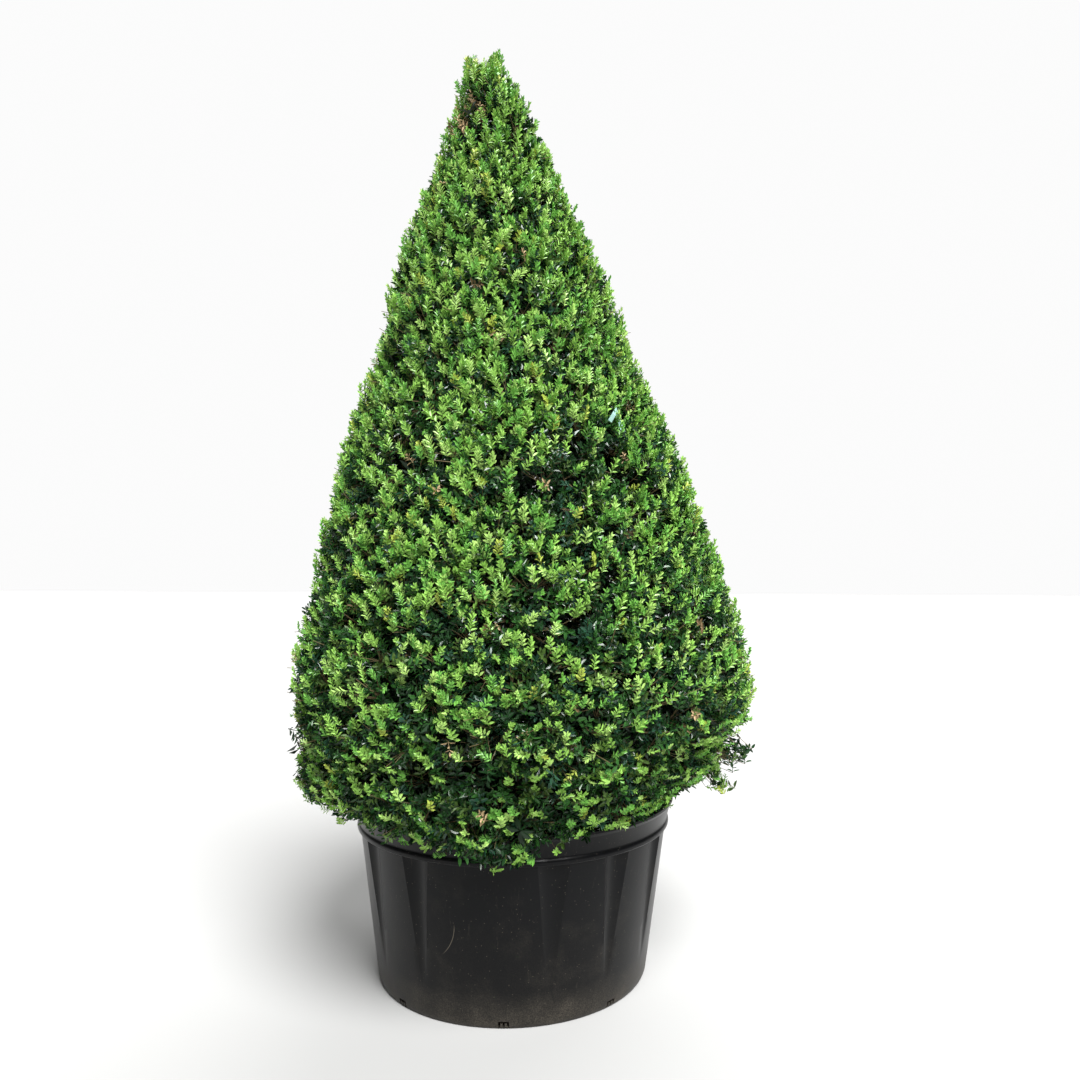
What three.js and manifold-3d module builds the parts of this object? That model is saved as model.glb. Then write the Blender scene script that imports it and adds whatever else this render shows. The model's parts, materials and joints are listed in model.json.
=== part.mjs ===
// Clipped boxwood cone in its ribbed nursery pot.
// Millimetres, +Z up, -Y is the front. The origin is the centre of the pot's flat underside.
import * as THREE from 'three';
import * as BufferGeometryUtils from 'three/addons/utils/BufferGeometryUtils.js';
import Module from 'manifold-3d';

const wasm = await Module();
wasm.setup();

// ---------------------------------------------------------------- driving dimensions

const GAP = 0.4;                    // clearance between pieces that touch

const POT_HEIGHT = 475;
const POT_FOOT_RADIUS = 365;
const POT_WALL_TOP_RADIUS = 418;
const POT_LIP_RADIUS = 440;
const POT_WALL = 5;
const POT_FLOOR = 8;
const FLUTE_TOP = 398;              // the flutes start right under the rim
const FLUTE_END = 90;               // and fade out above the foot
const FLUTE_DEPTH = 14;
const FLUTE_COUNT = 15;
const FLUTE_PITCH = 360 / FLUTE_COUNT;
const FLUTE_FIRST = 13;             // degrees from the front, towards +X
const PLAIN_FLUTE = FLUTE_COUNT - 1; // this place on the wall is left plain
const FLUTE_HALF_TOP = 5.5;         // half of a flute's width in degrees, at its top
const FLUTE_HALF_END = 1.2;

const SLOT_COUNT = 8;               // drain slots just above the foot
const SLOT_FIRST = -3.5;
const SLOT_WIDTH = 26;
const SLOT_LOW = 5;
const SLOT_HIGH = 19;
const SLOT_BAR = 5;                 // width of each leg and of the bar over them
const FOOT_NOTCH_WIDTH = 32;
const FOOT_NOTCH_HEIGHT = 3.5;

const SOIL_TOP = 436;
const SOIL_SIDES = 48;

const STEM_TOP = 620;
const STEM_SIDES = 24;
const BOUGH_COUNT = 6;
const BOUGH_SIDES = 8;
const BOUGH_STEPS = 6;

const CROWN_SIDES = 40;
const CROWN_STEPS = 20;
const CROWN_FOOT = 620;             // flat underside of the clipped cone
const DOME_RADIUS = 360;            // bare hollow over the pot, where the boughs stand
const DOME_TOP = 830;
const TIP_FOOT = 2440;
const TUFT_FOOT = 2520;
const UNEVEN = 9;                   // how far the clipped surface wanders in and out

// The clipped outline: height, radius, and lean of the axis along X.
const CROWN_OUTLINE = [
  [CROWN_FOOT, 572, 4],
  [730, 630, 26],
  [890, 622, 26],
  [1100, 565, 12],
  [1420, 470, -12],
  [1640, 386, -30],
  [1980, 278, -56],
  [2220, 180, -70],
  [TIP_FOOT, 98, -86],
];

// The skirt that hangs over the rim, in pieces with a natural parting between them:
// name, first and last degree from the front.
const SKIRTS = [
  ['front', -48, 42],
  ['right', 42, 112],
  ['back_right', 112, 180],
  ['back_left', 180, 250],
  ['left', 250, 312],
];
// The skirt's lower edge: degree, outer radius, height there, height of its inner edge.
const SKIRT_EDGE = [
  [-90, 585, 505, 470],
  [-60, 525, 500, 478],
  [-35, 500, 478, 456],
  [-5, 490, 440, 414],
  [20, 480, 480, 462],
  [45, 485, 520, 490],
  [85, 545, 588, 515],
  [125, 540, 530, 480],
  [180, 540, 500, 455],
  [230, 550, 505, 462],
  [270, 585, 505, 470],
];
const SKIRT_INNER = 452;
const SKIRT_STEP = 10;              // degrees between its cross-sections

// Upright tufts at the tip: X, Y, radius, height.
const TUFTS = [
  [-70, 0, 24, 2580],
  [-112, 14, 22, 2556],
  [-146, -6, 18, 2562],
];
const TUFT_SIDES = 8;

// ---------------------------------------------------------------- small helpers

const rad = THREE.MathUtils.degToRad;

// A place at an angle from the front, turning towards +X.
function polar(degrees, radius, height, leanX = 0) {
  const angle = rad(degrees);
  return new THREE.Vector3(leanX + radius * Math.sin(angle), -radius * Math.cos(angle), height);
}

function geometryOf(points, triangles) {
  const geometry = new THREE.BufferGeometry();
  const flat = points.flatMap((point) => [point.x, point.y, point.z]);
  geometry.setAttribute('position', new THREE.Float32BufferAttribute(flat, 3));
  geometry.setIndex(triangles);
  return geometry;
}

// Closed skin over rings of equal count that turn anticlockwise seen from the far end.
function loft(rings, startPoint, endPoint) {
  const count = rings[0].length;
  const points = [startPoint, ...rings.flat(), endPoint];
  const last = points.length - 1;
  const triangles = [];
  for (let i = 0; i < count; i += 1) {
    const next = (i + 1) % count;
    triangles.push(0, 1 + next, 1 + i);
    for (let row = 0; row < rings.length - 1; row += 1) {
      const low = 1 + row * count;
      const high = low + count;
      triangles.push(low + i, low + next, high + next);
      triangles.push(low + i, high + next, high + i);
    }
    const top = 1 + (rings.length - 1) * count;
    triangles.push(top + i, top + next, last);
  }
  return geometryOf(points, triangles);
}

function solidOf(geometry) {
  const bare = geometry.clone();
  bare.deleteAttribute('normal');
  bare.deleteAttribute('uv');
  const merged = BufferGeometryUtils.mergeVertices(bare);
  const mesh = new wasm.Mesh({
    numProp: 3,
    vertProperties: new Float32Array(merged.attributes.position.array),
    triVerts: new Uint32Array(merged.index.array),
  });
  return new wasm.Manifold(mesh);
}

function geometryOfSolid(solid) {
  const mesh = solid.getMesh();
  const geometry = new THREE.BufferGeometry();
  geometry.setAttribute('position', new THREE.BufferAttribute(mesh.vertProperties, 3));
  geometry.setIndex(new THREE.BufferAttribute(mesh.triVerts, 1));
  return geometry;
}

// Eased reading between the rows of a table whose rows start with their key.
function readTable(table, key) {
  let row = 0;
  while (row < table.length - 2 && table[row + 1][0] < key) {
    row += 1;
  }
  const [low, high] = [table[row], table[row + 1]];
  const t = THREE.MathUtils.clamp((key - low[0]) / (high[0] - low[0]), 0, 1);
  const eased = t * t * (3 - 2 * t);
  return low.slice(1).map((value, i) => THREE.MathUtils.lerp(value, high[i + 1], eased));
}

// Gentle hollows and swells of a clipped surface.
function uneven(degrees, height) {
  const angle = rad(degrees);
  const swell = Math.sin(5 * angle + height / 95)
    + 0.8 * Math.sin(9 * angle - height / 60 + 1.3)
    + 0.6 * Math.sin(14 * angle + height / 41 + 4.1);
  return UNEVEN * swell / 2;
}

// ---------------------------------------------------------------- pot

function wallRadius(height) {
  const t = height / FLUTE_TOP;
  return THREE.MathUtils.lerp(POT_FOOT_RADIUS, POT_WALL_TOP_RADIUS, t);
}

// One ring of the pot, with the flutes pressed in when depth is not zero.
function potRing(radius, height, inset = 0) {
  const t = THREE.MathUtils.clamp((height - FLUTE_END) / (FLUTE_TOP - FLUTE_END), 0, 1);
  const half = THREE.MathUtils.lerp(FLUTE_HALF_END, FLUTE_HALF_TOP, t);
  const places = [
    [-FLUTE_PITCH / 2, 0],
    [-half, 0],
    [-half / 2, 0.5],
    [0, 1],
    [half / 2, 0.5],
    [half, 0],
  ];
  const ring = [];
  for (let flute = 0; flute < FLUTE_COUNT; flute += 1) {
    const deepest = flute === PLAIN_FLUTE ? 0 : inset * t;
    for (const [offset, share] of places) {
      const degrees = FLUTE_FIRST + flute * FLUTE_PITCH + offset;
      ring.push(polar(degrees, radius - share * deepest, height));
    }
  }
  return ring;
}

function potShell() {
  const wallHeights = [FLUTE_END, FLUTE_TOP];
  const rings = [
    potRing(POT_FOOT_RADIUS - 8, 0),
    potRing(POT_FOOT_RADIUS - 1.5, 4),
    potRing(wallRadius(14), 14),
    ...wallHeights.map((height) => potRing(wallRadius(height), height, FLUTE_DEPTH)),
    potRing(POT_WALL_TOP_RADIUS + 1, FLUTE_TOP + 1),
    potRing(POT_WALL_TOP_RADIUS + 9, FLUTE_TOP + 6),   // bead along the rim's lower edge
    potRing(POT_WALL_TOP_RADIUS + 9, FLUTE_TOP + 15),
    potRing(POT_WALL_TOP_RADIUS + 6, FLUTE_TOP + 20),
    potRing(POT_LIP_RADIUS - 6, POT_HEIGHT - 16),
    potRing(POT_LIP_RADIUS, POT_HEIGHT - 9),
    potRing(POT_LIP_RADIUS - 2, POT_HEIGHT),
    potRing(POT_LIP_RADIUS - 16, POT_HEIGHT),
    potRing(POT_WALL_TOP_RADIUS + 1 - POT_WALL, FLUTE_TOP + 10),
    ...wallHeights.reverse().map((height) => {
      return potRing(wallRadius(height) - POT_WALL, height, FLUTE_DEPTH);
    }),
    potRing(wallRadius(POT_FLOOR) - POT_WALL, POT_FLOOR),
  ];
  return loft(rings, new THREE.Vector3(0, 0, 0), new THREE.Vector3(0, 0, POT_FLOOR));
}

// A box that reaches through the wall near the foot, at an angle from the front.
function footCutter(degrees, width, low, high, sideways = 0) {
  const depth = 60;
  const box = new THREE.BoxGeometry(width, depth, high - low);
  box.translate(sideways, -(POT_FOOT_RADIUS - depth / 4), (low + high) / 2);
  box.rotateZ(rad(degrees));
  return solidOf(box);
}

function pot() {
  let solid = solidOf(potShell());
  for (let slot = 0; slot < SLOT_COUNT; slot += 1) {
    const degrees = SLOT_FIRST + slot * 360 / SLOT_COUNT;
    const legs = [-1, 0, 1].map((side) => side * (SLOT_WIDTH - SLOT_BAR) / 2);
    solid = solid.subtract(footCutter(degrees, SLOT_WIDTH, SLOT_HIGH - SLOT_BAR, SLOT_HIGH));
    for (const sideways of legs) {
      const top = SLOT_HIGH - SLOT_BAR + 1;
      solid = solid.subtract(footCutter(degrees, SLOT_BAR, SLOT_LOW, top, sideways));
    }
    solid = solid.subtract(footCutter(degrees, FOOT_NOTCH_WIDTH, -2, FOOT_NOTCH_HEIGHT));
  }
  return geometryOfSolid(solid);
}

// ---------------------------------------------------------------- soil, stem and boughs

function plainRing(radius, height, count, leanX = 0) {
  return Array.from({ length: count }, (_, i) => polar(i * 360 / count, radius, height, leanX));
}

function soil() {
  const clear = 3;                  // the root ball has shrunk a little from the wall
  const deepWall = wallRadius(FLUTE_TOP) - FLUTE_DEPTH - POT_WALL - clear;
  const low = POT_FLOOR + GAP;
  const rings = [
    plainRing(wallRadius(low) - POT_WALL - 2 * clear, low, SOIL_SIDES),
    plainRing(deepWall, FLUTE_TOP + 1, SOIL_SIDES),
    plainRing(POT_WALL_TOP_RADIUS - POT_WALL - clear, FLUTE_TOP + 15, SOIL_SIDES),
    plainRing(POT_WALL_TOP_RADIUS - POT_WALL - clear, SOIL_TOP - 8, SOIL_SIDES),
    plainRing(POT_WALL_TOP_RADIUS * 0.8, SOIL_TOP, SOIL_SIDES),
  ];
  return loft(rings, new THREE.Vector3(0, 0, low), new THREE.Vector3(0, 0, SOIL_TOP));
}

// Height, radius, depth of the root lobes, lean along X.
const STEM_PROFILE = [
  [SOIL_TOP + GAP, 62, 15, 0],
  [SOIL_TOP + 12, 52, 9, 0],
  [SOIL_TOP + 34, 43, 4, 0],
  [SOIL_TOP + 80, 39, 2, -2],
  [550, 40, 2, -4],
  [590, 41, 2, -6],
  [STEM_TOP, 36, 1, -7],
];
const ROOT_LOBES = 5;

function mainStem(grow = 0) {
  const rings = STEM_PROFILE.map(([height, radius, lobe, leanX]) => {
    const level = height < STEM_TOP ? height : height + grow;
    return Array.from({ length: STEM_SIDES }, (_, i) => {
      const degrees = i * 360 / STEM_SIDES;
      const reach = radius + grow + lobe * Math.cos(ROOT_LOBES * rad(degrees));
      return polar(degrees, reach, level, leanX);
    });
  });
  const [foot] = STEM_PROFILE[0];
  const topLean = STEM_PROFILE[STEM_PROFILE.length - 1][3];
  const top = new THREE.Vector3(topLean, 0, STEM_TOP + grow);
  return loft(rings, new THREE.Vector3(0, 0, foot), top);
}

// One tapering limb along a curve, round in section.
function limb(curve, startRadius, endRadius, grow = 0) {
  const rings = [];
  const side = new THREE.Vector3(-Math.SQRT1_2, Math.SQRT1_2, 0);
  for (let step = 0; step <= BOUGH_STEPS; step += 1) {
    const t = step / BOUGH_STEPS;
    const along = curve.getTangent(t);
    const across = side.clone().addScaledVector(along, -side.dot(along)).normalize();
    const up = along.clone().cross(across);
    const radius = THREE.MathUtils.lerp(startRadius, endRadius, t) + grow;
    rings.push(Array.from({ length: BOUGH_SIDES }, (_, i) => {
      const angle = i * 2 * Math.PI / BOUGH_SIDES;
      return curve.getPoint(t)
        .addScaledVector(across, radius * Math.cos(angle))
        .addScaledVector(up, radius * Math.sin(angle));
    }));
  }
  return loft(rings, curve.getPoint(0), curve.getPoint(1));
}

// The side boughs leave the stem one above the other, all round it.
function boughCurve(index) {
  const degrees = 25 + index * 360 / BOUGH_COUNT;
  const foot = 515 + 13 * ((index * 2) % BOUGH_COUNT) + 6 * (index % 2);
  const reach = 205 + 22 * Math.sin(index * 2.4);
  return new THREE.CatmullRomCurve3([
    polar(degrees, 8, foot, -5),
    polar(degrees + 3, reach * 0.36, foot + 62, -5),
    polar(degrees - 4, reach * 0.72, foot + 165, -6),
    polar(degrees + 2, reach, 835, -6),
  ]);
}

function leaderCurve() {
  return new THREE.CatmullRomCurve3([
    new THREE.Vector3(-7, 0, STEM_TOP - 12),
    new THREE.Vector3(-12, 4, 730),
    new THREE.Vector3(-18, -3, 870),
  ]);
}

function boughShapes(crownSolid) {
  const crownLowered = crownSolid.translate([0, 0, -GAP]);
  const stemGrown = solidOf(mainStem(GAP));
  const curves = Array.from({ length: BOUGH_COUNT }, (_, i) => boughCurve(i));
  const grown = [];
  const shapes = curves.map((curve, i) => {
    let solid = solidOf(limb(curve, 23 - (i % 3), 14)).subtract(stemGrown).subtract(crownLowered);
    for (const earlier of grown) {
      solid = solid.subtract(earlier);
    }
    grown.push(solidOf(limb(curve, 23 - (i % 3), 14, GAP)));
    return geometryOfSolid(solid);
  });
  let leader = solidOf(limb(leaderCurve(), 31, 25)).subtract(stemGrown).subtract(crownLowered);
  for (const earlier of grown) {
    leader = leader.subtract(earlier);
  }
  return { shapes, leader: geometryOfSolid(leader) };
}

// ---------------------------------------------------------------- foliage

function domeHeight(radius) {
  const t = Math.min(radius / DOME_RADIUS, 1);
  return THREE.MathUtils.lerp(DOME_TOP, CROWN_FOOT, t * t);
}

function crownRing(radius, leanX, height) {
  const bite = THREE.MathUtils.clamp(radius / 300, 0.3, 1);
  return Array.from({ length: CROWN_SIDES }, (_, i) => {
    const degrees = i * 360 / CROWN_SIDES;
    return polar(degrees, radius + bite * uneven(degrees, height), height, leanX);
  });
}

function crownCone() {
  const outline = new THREE.CatmullRomCurve3(
    CROWN_OUTLINE.map(([height, radius, leanX]) => new THREE.Vector3(radius, leanX, height)),
    false,
    'centripetal',
  );
  const hollow = [90, 190, 280, DOME_RADIUS];
  const rings = [
    ...hollow.map((radius) => plainRing(radius, domeHeight(radius), CROWN_SIDES)),
    ...outline.getSpacedPoints(CROWN_STEPS).map((place) => crownRing(place.x, place.y, place.z)),
  ];
  const [, , topLean] = CROWN_OUTLINE[CROWN_OUTLINE.length - 1];
  return loft(rings, new THREE.Vector3(0, 0, DOME_TOP), new THREE.Vector3(topLean, 0, TIP_FOOT));
}

function crownTip() {
  const [, radius, leanX] = CROWN_OUTLINE[CROWN_OUTLINE.length - 1];
  const sides = TUFT_SIDES * 2;
  const ring = (height, share, lean) => Array.from({ length: sides }, (_, i) => {
    const degrees = i * 360 / sides;
    return polar(degrees, radius * share + 0.4 * uneven(degrees, height), height, lean);
  });
  const rings = [
    ring(TIP_FOOT + GAP, 0.97, leanX),
    ring(TIP_FOOT + 40, 0.86, leanX - 12),
    ring(TUFT_FOOT - 8, 0.7, leanX - 20),
    ring(TUFT_FOOT, 0.6, leanX - 22),
  ];
  const foot = new THREE.Vector3(leanX, 0, TIP_FOOT + GAP);
  return loft(rings, foot, new THREE.Vector3(leanX - 22, 0, TUFT_FOOT));
}

function tuft([x, y, radius, top], index) {
  const foot = TUFT_FOOT + GAP;
  const levels = [[0, 0.75], [0.3, 1], [0.65, 0.7], [0.9, 0.3]];
  const rings = levels.map(([t, share], row) => Array.from({ length: TUFT_SIDES }, (_, i) => {
    const reach = radius * share * (1 + 0.12 * Math.sin(3 * i + row + index));
    return polar(i * 360 / TUFT_SIDES, reach, 0).add(new THREE.Vector3(x, y, foot + t * (top - foot)));
  }));
  return loft(rings, new THREE.Vector3(x, y, foot), new THREE.Vector3(x, y, top));
}

// The skirt's cross-section at one angle, from its outer top corner round to its inner one.
function skirtSection(degrees) {
  const turned = degrees > 270 ? degrees - 360 : degrees;
  const [outer, outerLow, innerLow] = readTable(SKIRT_EDGE, turned);
  const [, crownRadius] = CROWN_OUTLINE[0];
  const top = CROWN_FOOT - GAP;
  const rag = 0.7 * uneven(degrees * 1.7, outerLow);
  const overRim = Math.max(POT_HEIGHT + 16, innerLow + rag + 6);
  const rimOut = crownRadius + uneven(degrees, CROWN_FOOT) - 6;
  return [
    polar(degrees, rimOut, top),
    polar(degrees, (outer + rimOut) / 2 + 8, (outerLow + top) / 2),
    polar(degrees, outer, outerLow + rag),
    polar(degrees, (SKIRT_INNER + outer) / 2 + 8, Math.min(outerLow, innerLow + 25) + rag),
    polar(degrees, SKIRT_INNER + 2, innerLow + rag),
    polar(degrees, SKIRT_INNER, overRim),
    polar(degrees, DOME_RADIUS + 4, overRim + 55),
    polar(degrees, DOME_RADIUS + 6, top),
  ];
}

function skirt([, first, last]) {
  const parting = 0.15;
  const steps = Math.max(3, Math.round((last - first) / SKIRT_STEP));
  const rings = Array.from({ length: steps + 1 }, (_, i) => {
    return skirtSection(THREE.MathUtils.lerp(first + parting, last - parting, i / steps));
  });
  const middle = (ring) => ring
    .reduce((sum, point) => sum.add(point), new THREE.Vector3())
    .divideScalar(ring.length);
  return loft(rings, middle(rings[0]), middle(rings[steps]));
}

// Loose sprigs at the lower right: name, root, tip, radius at the root and at the tip.
const SPRIGS = [
  ['hanging', new THREE.Vector3(527, -100, 602), new THREE.Vector3(557, -104, 508), 30, 10],
  ['spreading', new THREE.Vector3(522, -100, 596), new THREE.Vector3(626, -112, 612), 15, 6],
];

// A sprig starts inside its neighbours and is cut free of them and of the sprigs before it.
function sprigShapes(neighbours) {
  const cutters = neighbours.flatMap((solid) => [solid, solid.translate([GAP, 0, -GAP])]);
  return SPRIGS.map(([, root, tip, rootRadius, tipRadius]) => {
    const curve = new THREE.LineCurve3(root, tip);
    const solid = solidOf(limb(curve, rootRadius, tipRadius));
    const free = cutters.reduce((shape, cutter) => shape.subtract(cutter), solid);
    cutters.push(solidOf(limb(curve, rootRadius, tipRadius, GAP)));
    return geometryOfSolid(free);
  });
}

// ---------------------------------------------------------------- assembly

const finish = {
  pot: { color: 0x2a2b2c, roughness: 0.5, metalness: 0 },
  soil: { color: 0x3b2c21, roughness: 1, metalness: 0 },
  bark: { color: 0x8d7c66, roughness: 0.85, metalness: 0 },
  foliage: { color: 0x4c7a2b, roughness: 0.6, metalness: 0 },
};

const topiary = new THREE.Group();

function place(name, geometry, look) {
  const mesh = new THREE.Mesh(geometry, new THREE.MeshStandardMaterial(finish[look]));
  mesh.name = name;
  topiary.add(mesh);
}

const crown = crownCone();
const boughs = boughShapes(solidOf(crown));

place('pot', pot(), 'pot');
place('root_ball', soil(), 'soil');
place('main_stem', mainStem(), 'bark');
place('leader', boughs.leader, 'bark');
boughs.shapes.forEach((shape, i) => place(`bough_${i + 1}`, shape, 'bark'));
place('crown_cone', crown, 'foliage');
place('crown_tip', crownTip(), 'foliage');
TUFTS.forEach((size, i) => place(`tuft_${i + 1}`, tuft(size, i), 'foliage'));
for (const size of SKIRTS) {
  place(`skirt_${size[0]}`, skirt(size), 'foliage');
}
const besideSprigs = [crown, skirt(SKIRTS[0]), skirt(SKIRTS[1])].map(solidOf);
sprigShapes(besideSprigs).forEach((shape, i) => place(`sprig_${SPRIGS[i][0]}`, shape, 'foliage'));

export default topiary;
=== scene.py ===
"""A clipped boxwood cone in its ribbed nursery pot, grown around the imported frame."""
import functools
import json
import math

import bmesh
import bpy
import numpy as np
from bpy.props import FloatProperty, FloatVectorProperty, IntProperty, PointerProperty
from mathutils import Matrix, Quaternion, Vector, noise
from mathutils.bvhtree import BVHTree
from mathutils.kdtree import KDTree

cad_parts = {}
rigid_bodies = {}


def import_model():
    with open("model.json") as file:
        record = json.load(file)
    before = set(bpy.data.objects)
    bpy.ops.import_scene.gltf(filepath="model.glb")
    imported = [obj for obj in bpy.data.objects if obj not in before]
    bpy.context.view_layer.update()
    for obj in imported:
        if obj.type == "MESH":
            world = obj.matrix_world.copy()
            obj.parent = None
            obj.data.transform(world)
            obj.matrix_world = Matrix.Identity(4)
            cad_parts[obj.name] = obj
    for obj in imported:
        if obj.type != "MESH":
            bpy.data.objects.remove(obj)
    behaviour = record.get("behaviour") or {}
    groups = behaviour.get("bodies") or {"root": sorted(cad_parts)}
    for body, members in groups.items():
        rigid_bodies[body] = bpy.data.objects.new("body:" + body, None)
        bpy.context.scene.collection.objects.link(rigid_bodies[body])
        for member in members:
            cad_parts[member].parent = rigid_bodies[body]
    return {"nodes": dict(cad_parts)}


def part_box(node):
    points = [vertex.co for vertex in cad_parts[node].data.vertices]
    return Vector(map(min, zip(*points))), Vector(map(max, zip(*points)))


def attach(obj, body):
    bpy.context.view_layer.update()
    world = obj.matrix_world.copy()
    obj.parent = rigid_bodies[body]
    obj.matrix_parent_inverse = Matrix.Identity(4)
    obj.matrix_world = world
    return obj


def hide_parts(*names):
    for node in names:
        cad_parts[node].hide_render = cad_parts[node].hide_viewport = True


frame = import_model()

bl_info = {
    "name": "Clipped boxwood cone",
    "version": (1, 0, 0),
    "blender": (4, 5, 0),
    "location": "3D View > Sidebar > Topiary",
    "description": "Builds a clipped boxwood cone in a ribbed nursery pot",
    "category": "Object",
}

UP = np.array([0.0, 0.0, 1.0])
CROWN_NODES = ("crown_cone", "crown_tip", "tuft_1", "tuft_2", "tuft_3")
SKIRT_NODES = (
    "skirt_front",
    "skirt_right",
    "skirt_back_right",
    "skirt_back_left",
    "skirt_left",
)
SPRIG_NODES = ("sprig_hanging", "sprig_spreading")
LIMB_NODES = ("main_stem", "leader", *(f"bough_{number}" for number in range(1, 7)))
# The most that a piece may have, and how many a twiglet of three sides and two ends has.
MOST_TRIANGLES = 190_000
TWIGLET_TRIANGLES = 8
# Twigs without leaves that reach the skin, on a square metre of it.
BARE_TWIGS = (("crown_cone", 40), ("skirt_right", 300), ("sprig_spreading", 900))


# ------------------------------------------------------------------ colours and nodes


def linear(hex_colour):
    """An sRGB hex colour as linear red, green and blue."""
    values = [int(hex_colour[i:i + 2], 16) / 255 for i in (1, 3, 5)]
    return tuple(v / 12.92 if v <= 0.04045 else ((v + 0.055) / 1.055) ** 2.4 for v in values)


def opaque(colour):
    """A colour as the four values that a colour socket takes."""
    return (*colour[:3], 1.0)


def add(tree, kind, inputs=None, **settings):
    """Adds one node with its settings; an input given a socket is linked to it."""
    node = tree.nodes.new(kind)
    for name, value in settings.items():
        setattr(node, name, value)
    for key, value in (inputs or {}).items():
        if isinstance(value, bpy.types.NodeSocket):
            tree.links.new(value, node.inputs[key])
        else:
            node.inputs[key].default_value = value
    return node


def new_material(name):
    """An empty material, its tree and its output's surface socket."""
    material = bpy.data.materials.new(name)
    material.use_nodes = True
    tree = material.node_tree
    tree.nodes.clear()
    output = add(tree, "ShaderNodeOutputMaterial")
    return material, tree, output.inputs["Surface"]


def per_mm(millimetres):
    """The Scale of a pattern whose features are this many millimetres apart."""
    return 1000.0 / millimetres


# ------------------------------------------------------------------ settings


def colour_property(name, description, hex_colour):
    return FloatVectorProperty(
        name=name, description=description, subtype="COLOR", size=3, min=0, max=1,
        default=linear(hex_colour),
    )


class TOPIARY_PG_foliage(bpy.types.PropertyGroup):
    seed: IntProperty(name="Seed", description="Start of every random draw", default=11)
    leaf_length: FloatProperty(
        name="Leaf length", description="Length of a full-grown leaf", unit="LENGTH",
        default=0.0165,
    )
    leaf_width: FloatProperty(
        name="Leaf width", description="Width of a full-grown leaf", unit="LENGTH",
        default=0.0068,
    )
    new_per_m2: IntProperty(
        name="New shoots", description="Bright new shoots on a square metre of crown",
        default=2300,
    )
    old_per_m2: IntProperty(
        name="Old sprays", description="Sprays of last year's leaves on a square metre",
        default=2350,
    )
    deep_per_m2: IntProperty(
        name="Deep sprays", description="Coarse inner sprays on a square metre",
        default=1150,
    )
    new_green: colour_property("New green", "Most of the new shoots", "#95C35C")
    new_fresh: colour_property("New fresh green", "Cooler new shoots", "#74B04E")
    new_light: colour_property("New light green", "The palest shoot tips", "#B2D678")
    # Partly yellowed new growth, partly a painted glow of light shining through backlit shoots,
    # dealt to sprays at random.
    new_yellow_glow: colour_property("New yellow", "Shoots bleached by the sun", "#B4C65A")
    old_green: colour_property("Old green", "Most of last year's leaves", "#305A28")
    old_dark: colour_property("Old dark green", "Leaves in the shade", "#1B3A1C")
    old_blue: colour_property("Old blue-green", "Leaves with a waxy bloom", "#294C38")
    old_olive: colour_property("Old olive", "Leaves turning dull", "#4E6A30")
    dead_tan: colour_property("Dead tan", "Dried leaves", "#B39C76")
    dead_brown: colour_property("Dead brown", "Old dried leaves", "#6E5A3C")
    tag: colour_property("Tag", "Blank grower's tag", "#A6CFC8")


class TOPIARY_PG_wood(bpy.types.PropertyGroup):
    branches: IntProperty(
        name="Branches", description="Branches on the leader and boughs", default=320,
    )
    twigs: IntProperty(
        name="Twigs", description="Twigs on the branches", default=2800,
    )
    bark: colour_property("Bark", "Pale corky bark", "#9C8A6C")
    twig: colour_property("Twig", "Thin woody twigs", "#6F6242")


class TOPIARY_PG_pot(bpy.types.PropertyGroup):
    wall: FloatProperty(
        name="Wall", description="Thickness of the moulded wall", unit="LENGTH",
        default=0.005,
    )
    flute_depth: FloatProperty(
        name="Flute depth", description="How deep the flutes are pressed in at the top",
        unit="LENGTH", default=0.014,
    )
    plastic: colour_property("Plastic", "Charcoal pot plastic", "#0A0B0D")
    # Besides dried soil, this colour is what the painted shade mixes into the wall, lighter
    # towards the foot.
    dust: colour_property("Dust", "Dried soil on the pot", "#7C7467")
    soil: colour_property("Soil", "Moist potting soil", "#3A2A1E")


class TOPIARY_PG_stage(bpy.types.PropertyGroup):
    floor: colour_property("Floor", "Plain pale studio floor", "#B2B2B1")
    key_power: FloatProperty(
        name="Key light", description="Strength of the soft front lamp", default=6.7,
    )


# ------------------------------------------------------------------ pieces and meshes


def place_piece(name, mesh, nodes):
    """Puts a finished mesh in the scene, on the part's one body."""
    piece = bpy.data.objects.new(name, mesh)
    bpy.context.scene.collection.objects.link(piece)
    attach(piece, "root")
    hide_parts(*nodes)
    return piece


def mesh_of(name, points, faces):
    mesh = bpy.data.meshes.new(name)
    mesh.from_pydata([tuple(point) for point in points], [], [tuple(face) for face in faces])
    mesh.update()
    return mesh


def node_points(name):
    """A CAD node's vertices, in metres."""
    mesh = frame["nodes"][name].data
    points = np.empty(len(mesh.vertices) * 3, np.float32)
    mesh.vertices.foreach_get("co", points)
    return points.reshape(-1, 3).astype(float)


def node_triangles(name):
    """A CAD node's triangles as an array of corners."""
    mesh = frame["nodes"][name].data
    mesh.calc_loop_triangles()
    corners = np.empty(len(mesh.loop_triangles) * 3, np.int32)
    mesh.loop_triangles.foreach_get("vertices", corners)
    return node_points(name)[corners.reshape(-1, 3)]


@functools.cache
def node_box(name):
    """A CAD node's lowest and highest corners, read once."""
    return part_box(name)


def unit(vectors):
    length = np.linalg.norm(vectors, axis=-1, keepdims=True)
    return vectors / np.maximum(length, 1e-9)


def evaluated_mesh(carrier, name):
    """The plain mesh that a carrier's modifiers give, with the carrier removed."""
    graph = bpy.context.evaluated_depsgraph_get()
    mesh = bpy.data.meshes.new_from_object(carrier.evaluated_get(graph))
    mesh.name = name
    source = carrier.data
    bpy.data.objects.remove(carrier)
    bpy.data.meshes.remove(source)
    return mesh


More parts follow.
